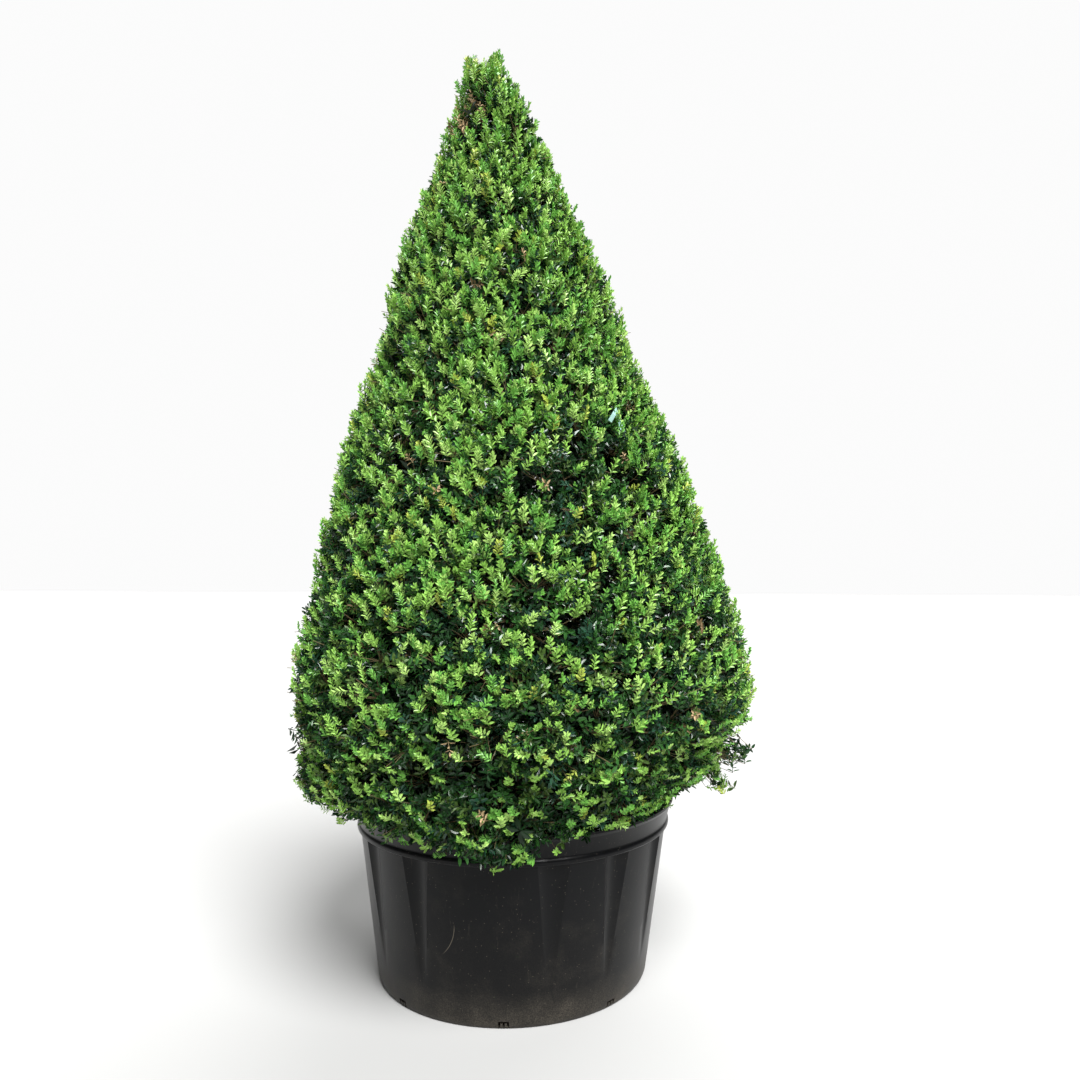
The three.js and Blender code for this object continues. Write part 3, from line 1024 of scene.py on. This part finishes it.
def pot_rings():
    own = pot_settings()
    top = node_box("pot")[1].z
    lip = node_box("pot")[1].x
    low, high = FLUTE_HEIGHTS
    rings = [
        pot_ring(FOOT_RADIUS - 0.008, 0.0),
        pot_ring(FOOT_RADIUS - 0.0045, 0.0008),
        pot_ring(FOOT_RADIUS - 0.0015, 0.004),
        pot_ring(wall_radius(0.012), 0.012),
    ]
    for height in np.linspace(0.03, high, 22):
        rings.append(pot_ring(wall_radius(height), height, own.flute_depth))
    bead = [(0.001, 0.001), (0.006, 0.0022), (0.0086, 0.005), (0.0095, 0.009), (0.009, 0.013),
            (0.0074, 0.0165), (0.0055, 0.019), (0.005, 0.0215)]
    rings += [pot_ring(WALL_TOP_RADIUS + out, high + rise) for out, rise in bead]
    lip_profile = [(0.0075, 0.018), (0.006, 0.0155), (0.0015, 0.011), (0, 0.008),
                   (0.0006, 0.0025), (0.003, 0.0), (0.0135, 0.0), (0.016, 0.003)]
    rings += [pot_ring(lip - inset, top - drop) for inset, drop in lip_profile]
    inner = WALL_TOP_RADIUS - own.wall
    rings.append(pot_ring(inner + 0.004, high + 0.03))
    rings.append(pot_ring(inner + 0.001, high + 0.01))
    for height in np.linspace(high, low, 5):
        rings.append(pot_ring(wall_radius(height) - own.wall, height, own.flute_depth))
    rings.append(pot_ring(wall_radius(0.008) - own.wall, 0.008))
    return rings


def lathe_mesh(name, rings, first, last):
    """A closed skin over rings of equal count, from one point to another."""
    count = len(rings[0])
    points = [first, *(point for ring in rings for point in ring), last]
    end = len(points) - 1
    faces = []
    for i in range(count):
        j = (i + 1) % count
        faces.append((0, 1 + j, 1 + i))
        for row in range(len(rings) - 1):
            low = 1 + row * count
            faces.append((low + i, low + j, low + count + j, low + count + i))
        top = 1 + (len(rings) - 1) * count
        faces.append((top + i, top + j, end))
    return mesh_of(name, points, faces)


SLOTS = 8
FIRST_SLOT = -3.5


def slot_cutter():
    """The boxes that cut the drain slots and the reliefs under the foot."""
    shape = bmesh.new()
    for slot in range(SLOTS):
        turn = Matrix.Rotation(math.radians(FIRST_SLOT + slot * 360 / SLOTS), 4, "Z")
        # Width, lowest and highest point, and sideways place of each box, in metres.
        boxes = [(0.026, 0.014, 0.019, 0.0), (0.032, -0.002, 0.0035, 0.0)]
        boxes += [(0.005, 0.005, 0.015, side * 0.0105) for side in (-1, 0, 1)]
        for width, low, high, sideways in boxes:
            size = Matrix.Diagonal((width, 0.06, high - low, 1))
            place = Matrix.Translation((sideways, 0.015 - FOOT_RADIUS, (low + high) / 2))
            bmesh.ops.create_cube(shape, size=1, matrix=turn @ place @ size)
    mesh = bpy.data.meshes.new("slot_cutter")
    shape.to_mesh(mesh)
    shape.free()
    return mesh


def pot_mesh():
    body = lathe_mesh("pot_shell", pot_rings(), (0, 0, 0), (0, 0, 0.008))
    carrier = bpy.data.objects.new("pot_shell", body)
    cutter = bpy.data.objects.new("slot_cutter", slot_cutter())
    for item in (carrier, cutter):
        bpy.context.scene.collection.objects.link(item)
    cut = carrier.modifiers.new("slots", "BOOLEAN")
    cut.operation = "DIFFERENCE"
    cut.solver = "EXACT"
    cut.use_self = True
    cut.object = cutter
    mesh = evaluated_mesh(carrier, "pot_shell")
    cutter_data = cutter.data
    bpy.data.objects.remove(cutter)
    bpy.data.meshes.remove(cutter_data)
    mesh.shade_smooth()
    mesh.set_sharp_from_angle(angle=math.radians(24))
    return mesh


def curved_scratch(tree, place):
    """One long curved scratch low on the pot's plain panel, as a mask."""
    x, y, z = add(tree, "ShaderNodeSeparateXYZ", {"Vector": place}).outputs
    flat = add(tree, "ShaderNodeVectorMath", {0: place, 1: (1, 0, 1)}, operation="MULTIPLY")
    reach = add(tree, "ShaderNodeVectorMath", {
        0: flat.outputs["Vector"], 1: (-0.243, 0, 0.245),
    }, operation="DISTANCE").outputs["Value"]
    off = add(tree, "ShaderNodeMath", {0: reach, 1: 0.102}, operation="SUBTRACT").outputs[0]
    off = add(tree, "ShaderNodeMath", {0: off}, operation="ABSOLUTE").outputs[0]
    mask = add(tree, "ShaderNodeMapRange", {
        "Value": off, "From Min": 0.0012, "From Max": 0.0002, "To Min": 0, "To Max": 0.55,
    }).outputs["Result"]
    for value, start, end in ((x, -0.25, -0.24), (y, 0, -0.1), (z, 0.172, 0.19), (z, 0.255, 0.24)):
        limit = add(tree, "ShaderNodeMapRange", {
            "Value": value, "From Min": start, "From Max": end,
        }).outputs["Result"]
        mask = add(tree, "ShaderNodeMath", {0: mask, 1: limit}, operation="MULTIPLY").outputs[0]
    return mask


def pot_material():
    """Moulded charcoal plastic: half-gloss with a fine skin, scuffed, with dust near the foot; a
    painted shade also lightens the wall towards the foot, so that its top stays dark as in the
    foliage's shadow.
    """
    own = pot_settings()
    material, tree, surface = new_material("moulded charcoal polyethylene")
    place = add(tree, "ShaderNodeTexCoord").outputs["Object"]
    height = add(tree, "ShaderNodeSeparateXYZ", {"Vector": place}).outputs["Z"]
    cloud = add(tree, "ShaderNodeTexNoise", {
        "Vector": place, "Scale": per_mm(70), "Detail": 5, "Roughness": 0.6,
    }).outputs["Fac"]
    grit = add(tree, "ShaderNodeTexNoise", {
        "Vector": place, "Scale": per_mm(3), "Detail": 3, "Roughness": 0.7,
    }).outputs["Fac"]
    low = add(tree, "ShaderNodeMapRange", {
        "Value": height, "From Min": 0.09, "From Max": 0.0, "To Min": 0.0, "To Max": 0.5,
    }).outputs["Result"]
    # Painted shade: the wall turns a little lighter from under the rim down to the foot, so that
    # its top stays dark as in the shadow of the foliage.
    painted_shade_ramp = add(tree, "ShaderNodeMapRange", {
        "Value": height, "From Min": 0.34, "From Max": 0.02, "To Min": 0.0, "To Max": 0.08,
    }).outputs["Result"]
    # From here the mask holds the real dust at the foot and the painted shade together.
    low = add(tree, "ShaderNodeMath", {0: low, 1: painted_shade_ramp}, operation="ADD").outputs[0]
    dust_and_painted_shade = add(tree, "ShaderNodeMath", {0: low, 1: cloud}, operation="MULTIPLY").outputs[0]
    film = add(tree, "ShaderNodeMapRange", {
        "Value": cloud, "From Min": 0.5, "From Max": 0.85, "To Min": 0.0, "To Max": 0.07,
    }).outputs["Result"]
    veil = add(tree, "ShaderNodeMath", {0: dust_and_painted_shade, 1: film}, operation="ADD").outputs[0]
    grain = add(tree, "ShaderNodeMapRange", {
        "Value": grit, "From Min": 0.4, "From Max": 0.7, "To Min": 0.35, "To Max": 1.3,
    }).outputs["Result"]
    veil = add(tree, "ShaderNodeMath", {0: veil, 1: grain}, operation="MULTIPLY").outputs[0]
    specks = add(tree, "ShaderNodeTexVoronoi", {"Vector": place, "Scale": per_mm(11)})
    speck = add(tree, "ShaderNodeMapRange", {
        "Value": specks.outputs["Distance"],
        "From Min": 0.12, "From Max": 0.06, "To Min": 0.0, "To Max": 0.34,
    }).outputs["Result"]
    combed = add(tree, "ShaderNodeMapping", {"Vector": place, "Scale": (1, 1, 0.05)})
    scuffs = add(tree, "ShaderNodeTexNoise", {
        "Vector": combed.outputs["Vector"], "Scale": per_mm(9), "Detail": 6,
        "Roughness": 0.75,
    }).outputs["Fac"]
    scuff = add(tree, "ShaderNodeMapRange", {
        "Value": scuffs, "From Min": 0.6, "From Max": 0.75, "To Min": 0.0, "To Max": 0.14,
    }).outputs["Result"]
    marks = add(tree, "ShaderNodeMath", {0: speck, 1: scuff}, operation="MAXIMUM").outputs[0]
    scratch = curved_scratch(tree, place)
    marks = add(tree, "ShaderNodeMath", {0: marks, 1: scratch}, operation="MAXIMUM").outputs[0]
    all_marks = add(tree, "ShaderNodeMath", {0: veil, 1: marks}, operation="MAXIMUM",
                    use_clamp=True).outputs[0]
    shade = add(tree, "ShaderNodeMix", {"Factor": all_marks}, data_type="RGBA")
    shade.inputs["A"].default_value = opaque(own.plastic)
    shade.inputs["B"].default_value = opaque(own.dust)
    rough = add(tree, "ShaderNodeMapRange", {
        "Value": all_marks, "From Min": 0.0, "From Max": 0.6, "To Min": 0.31, "To Max": 0.75,
    }).outputs["Result"]
    bump = add(tree, "ShaderNodeBump", {"Height": grit, "Strength": 0.12, "Distance": 0.0006})
    shader = add(tree, "ShaderNodeBsdfPrincipled", {
        "Base Color": shade.outputs["Result"],
        "Roughness": rough,
        "IOR": 1.26,
        "Normal": bump.outputs["Normal"],
    })
    tree.links.new(shader.outputs["BSDF"], surface)
    return material


def soil_mesh():
    """The root ball: smooth where the pot holds it, crumbled on top."""
    top = node_box("root_ball")[1].z
    low = node_box("root_ball")[0].z
    edge = WALL_TOP_RADIUS - 0.008
    profile = [(wall_radius(low) - 0.011, low), (0.393, 0.399), (edge, 0.413), (edge, top - 0.008)]
    profile += [(edge * t, top) for t in np.linspace(0.96, 0.04, 34)]
    count = 128
    rings = []
    for radius, height in profile:
        ring = []
        for i in range(count):
            angle = i * math.tau / count
            x, y = radius * math.sin(angle), -radius * math.cos(angle)
            rise = 0.0
            if height == top and radius > 0.08:
                rise = 0.007 * noise.noise(Vector((x * 16, y * 16, 1)))
                rise += 0.005 * noise.noise(Vector((x * 70, y * 70, 2))) - 0.006
            ring.append((x, y, height + rise))
        rings.append(ring)
    mesh = lathe_mesh("root_ball_soil", rings, (0, 0, low), (0, 0, top))
    mesh.shade_smooth()
    return mesh


def soil_material():
    """Moist bark-and-peat potting soil: matt, dark and coarse."""
    own = pot_settings()
    material, tree, surface = new_material("moist potting soil")
    place = add(tree, "ShaderNodeTexCoord").outputs["Object"]
    crumbs = add(tree, "ShaderNodeTexVoronoi", {"Vector": place, "Scale": per_mm(6)})
    # Painted light and shade: each crumb is pale at its middle and dark at its edges, where the
    # inverted bump sinks into crevices.
    shade = add(tree, "ShaderNodeMix", {
        "Factor": crumbs.outputs["Distance"],
        "A": opaque([value * 1.7 for value in own.soil]),
        "B": opaque([value * 0.35 for value in own.soil]),
    }, data_type="RGBA")
    bump = add(tree, "ShaderNodeBump", {
        "Height": crumbs.outputs["Distance"], "Strength": 0.9, "Distance": 0.003,
    })
    bump.invert = True
    shader = add(tree, "ShaderNodeBsdfPrincipled", {
        "Base Color": shade.outputs["Result"],
        "Roughness": 0.95,
        "Normal": bump.outputs["Normal"],
    })
    tree.links.new(shader.outputs["BSDF"], surface)
    return material


CRUMB_SHAPES = 5


def crumb_collection(material):
    """Rough lumps of bark and soil, a centimetre across at size 1."""
    rng = np.random.default_rng(foliage().seed + 77)
    collection = bpy.data.collections.new("crumbs")
    for number in range(CRUMB_SHAPES):
        shape = bmesh.new()
        bmesh.ops.create_icosphere(shape, subdivisions=1, radius=0.005)
        for vertex in shape.verts:
            vertex.co *= rng.uniform(0.7, 1.25)
            vertex.co.z *= 0.6
        mesh = bpy.data.meshes.new(f"crumb_{number}")
        shape.to_mesh(mesh)
        shape.free()
        mesh.materials.append(material)
        collection.objects.link(bpy.data.objects.new(mesh.name, mesh))
    return collection


def crumbs_mesh(material):
    rng = np.random.default_rng(foliage().seed + 78)
    count = 1300
    reach = np.sqrt(rng.uniform(0.05, 0.93, count)) * (WALL_TOP_RADIUS - 0.02)
    angle = rng.uniform(0, math.tau, count)
    height = np.full(count, node_box("root_ball")[1].z - 0.006)
    turns = rng.normal(size=(count, 4))
    laid = {
        "feet": np.stack([reach * np.cos(angle), reach * np.sin(angle), height], axis=1),
        "turn": unit(turns),
        "size": rng.lognormal(-0.15, 0.35, count).clip(0.4, 1.8),
        "shape": rng.integers(0, CRUMB_SHAPES, count),
        "tint": np.zeros(count, int),
    }
    shapes = crumb_collection(material)
    mesh = deal_out("soil_crumbs", laid, shapes, spray_tree("crumbs", 1), [material])
    drop_collection(shapes)
    return mesh


# ------------------------------------------------------------------ operators


def foliage():
    return bpy.context.scene.topiary_foliage


def wood():
    return bpy.context.scene.topiary_wood


def pot_settings():
    return bpy.context.scene.topiary_pot


class TOPIARY_OT_pot(bpy.types.Operator):
    """Moulds the ribbed pot and fills it with soil"""

    bl_idname = "topiary.pot"
    bl_label = "Pot and soil"

    def execute(self, context):
        mesh = pot_mesh()
        mesh.materials.append(pot_material())
        place_piece("nursery_pot", mesh, ["pot"])
        earth = soil_material()
        soil = soil_mesh()
        soil.materials.append(earth)
        place_piece("potting_soil", soil, ["root_ball"])
        place_piece("soil_crumbs", crumbs_mesh(earth), ["root_ball"])
        return {"FINISHED"}


class TOPIARY_OT_wood(bpy.types.Operator):
    """Grows the stem, the boughs, the branches and the twigs"""

    bl_idname = "topiary.wood"
    bl_label = "Stem, boughs and twigs"

    def execute(self, context):
        own = context.scene.topiary_wood
        bark = bark_material(own.bark, own.twig)
        for name in LIMB_NODES:
            mesh = bark_mesh(name)
            mesh.materials.clear()
            mesh.materials.append(bark)
            place_piece(f"{name}_bark", mesh, [name])
        twig = twig_material("young boxwood twig", own.twig)
        main = limbs_mesh("inner_limbs", main_limbs(), 9, bark)
        main.shade_smooth()
        place_piece("inner_limbs", main, CROWN_NODES[:1])
        small = limbs_mesh("branches", branches(), 5, twig)
        place_piece("branches", small, CROWN_NODES[:1])
        thin = limbs_mesh("twigs", twigs(), 3, twig)
        place_piece("twigs", thin, CROWN_NODES[:1])
        feet = np.concatenate([
            sprays(kind, group)["feet"] for kind in ("new", "old", "dead") for group in GROUPS
        ])
        rng = np.random.default_rng(foliage().seed + 9)
        for name, per_m2 in BARE_TWIGS:
            places, normals = skin_samples(name, per_m2, rng)
            bare = places + normals * rng.uniform(0, 0.012, (len(places), 1))
            feet = np.concatenate([feet, bare])
        grown = twiglets(feet)
        parts = math.ceil(len(grown) * TWIGLET_TRIANGLES / MOST_TRIANGLES)
        for part in range(parts):
            name = f"twiglets_{part + 1}"
            mesh = limbs_mesh(name, grown[part::parts], 3, twig)
            place_piece(name, mesh, all_foliage())
        return {"FINISHED"}


class TOPIARY_OT_leaves(bpy.types.Operator):
    """Deals out the sprays of new, old, inner and dead leaves"""

    bl_idname = "topiary.leaves"
    bl_label = "Leaves"

    def execute(self, context):
        for group in GROUPS:
            for kind in SPRAYS:
                leaves_in_pieces(kind, group)
        tag = tag_mesh()
        tag.materials.append(leaf_material("pale teal film", foliage().tag, 0.4))
        place_piece("blank_tag", tag, CROWN_NODES[:1])
        return {"FINISHED"}


class TOPIARY_OT_stage(bpy.types.Operator):
    """Sets the camera, the soft studio light and the pale floor"""

    bl_idname = "topiary.stage"
    bl_label = "Stage"

    def execute(self, context):
        own = context.scene.topiary_stage
        add_camera(context.scene)
        add_floor(context.scene, own.floor)
        add_lights(context.scene, own.key_power)
        return {"FINISHED"}


# ------------------------------------------------------------------ stage


def add_camera(scene):
    """In front and below the crown's middle, tipped up a little and turned to the right."""
    data = bpy.data.cameras.new("camera")
    data.sensor_width = 36
    data.lens = 29.65
    data.shift_x = -0.0393
    camera = bpy.data.objects.new("camera", data)
    camera.location = (0, -2.516, 1.109)
    pitch, yaw, roll = math.radians(1.51), math.radians(-4.19), math.radians(0.397)
    camera.rotation_mode = "QUATERNION"
    camera.rotation_quaternion = (
        Quaternion((0, 0, 1), yaw)
        @ Quaternion((1, 0, 0), math.pi / 2 + pitch)
        @ Quaternion((0, 0, 1), roll)
    )
    scene.collection.objects.link(camera)
    scene.camera = camera


def add_floor(scene, colour):
    mesh = mesh_of("floor", [(-30, -30, 0), (30, -30, 0), (30, 30, 0), (-30, 30, 0)],
                   [(0, 1, 2, 3)])
    material, tree, surface = new_material("matt studio floor")
    shader = add(tree, "ShaderNodeBsdfPrincipled", {
        "Base Color": opaque(colour),
        "Roughness": 0.9,
    })
    tree.links.new(shader.outputs["BSDF"], surface)
    mesh.materials.append(material)
    floor = bpy.data.objects.new("floor", mesh)
    scene.collection.objects.link(floor)


def add_lights(scene, power):
    """Wide soft lamps above the front and the back, in a dim room with a white backdrop."""
    scene.view_settings.view_transform = "Standard"
    world = bpy.data.worlds.new("studio")
    world.use_nodes = True
    tree = world.node_tree
    tree.nodes.clear()
    ray = add(tree, "ShaderNodeLightPath")
    room = add(tree, "ShaderNodeBackground", {"Color": (1, 1, 1, 1), "Strength": 0.105})
    backdrop = add(tree, "ShaderNodeBackground", {"Color": (1, 1, 1, 1), "Strength": 0.97})
    seen = add(tree, "ShaderNodeMixShader", {
        0: ray.outputs["Is Camera Ray"],
        1: room.outputs["Background"],
        2: backdrop.outputs["Background"],
    })
    add(tree, "ShaderNodeOutputWorld", {"Surface": seen.outputs["Shader"]})
    scene.world = world
    for name, place, spread, share in (
        ("key", (0.3, -0.75, 1.1), 32, 1.0),
        ("back", (0.35, 0.85, 1.0), 60, 0.4),
    ):
        data = bpy.data.lights.new(name, "SUN")
        data.angle = math.radians(spread)
        data.energy = power * share
        lamp = bpy.data.objects.new(name, data)
        lamp.rotation_mode = "QUATERNION"
        lamp.rotation_quaternion = Vector(place).to_track_quat("Z", "Y")
        scene.collection.objects.link(lamp)


class TOPIARY_PT_panel(bpy.types.Panel):
    bl_idname = "TOPIARY_PT_panel"
    bl_label = "Topiary"
    bl_space_type = "VIEW_3D"
    bl_region_type = "UI"
    bl_category = "Topiary"

    def draw(self, context):
        scene = context.scene
        for group in (
            scene.topiary_foliage,
            scene.topiary_wood,
            scene.topiary_pot,
            scene.topiary_stage,
        ):
            box = self.layout.box()
            for name in group.__annotations__:
                box.prop(group, name)
        for operator in OPERATORS:
            self.layout.operator(operator.bl_idname)


OPERATORS = (TOPIARY_OT_pot, TOPIARY_OT_wood, TOPIARY_OT_leaves, TOPIARY_OT_stage)
SETTINGS = {
    "topiary_foliage": TOPIARY_PG_foliage,
    "topiary_wood": TOPIARY_PG_wood,
    "topiary_pot": TOPIARY_PG_pot,
    "topiary_stage": TOPIARY_PG_stage,
}


def register():
    for kind in (*SETTINGS.values(), *OPERATORS, TOPIARY_PT_panel):
        bpy.utils.register_class(kind)
    for name, kind in SETTINGS.items():
        setattr(bpy.types.Scene, name, PointerProperty(type=kind))


def unregister():
    for name in SETTINGS:
        delattr(bpy.types.Scene, name)
    for kind in (TOPIARY_PT_panel, *reversed(OPERATORS), *SETTINGS.values()):
        bpy.utils.unregister_class(kind)


def main():
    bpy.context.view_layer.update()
    register()
    bpy.ops.topiary.pot()
    bpy.ops.topiary.wood()
    bpy.ops.topiary.leaves()
    bpy.ops.topiary.stage()
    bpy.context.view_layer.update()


if __name__ == "__main__":
    main()
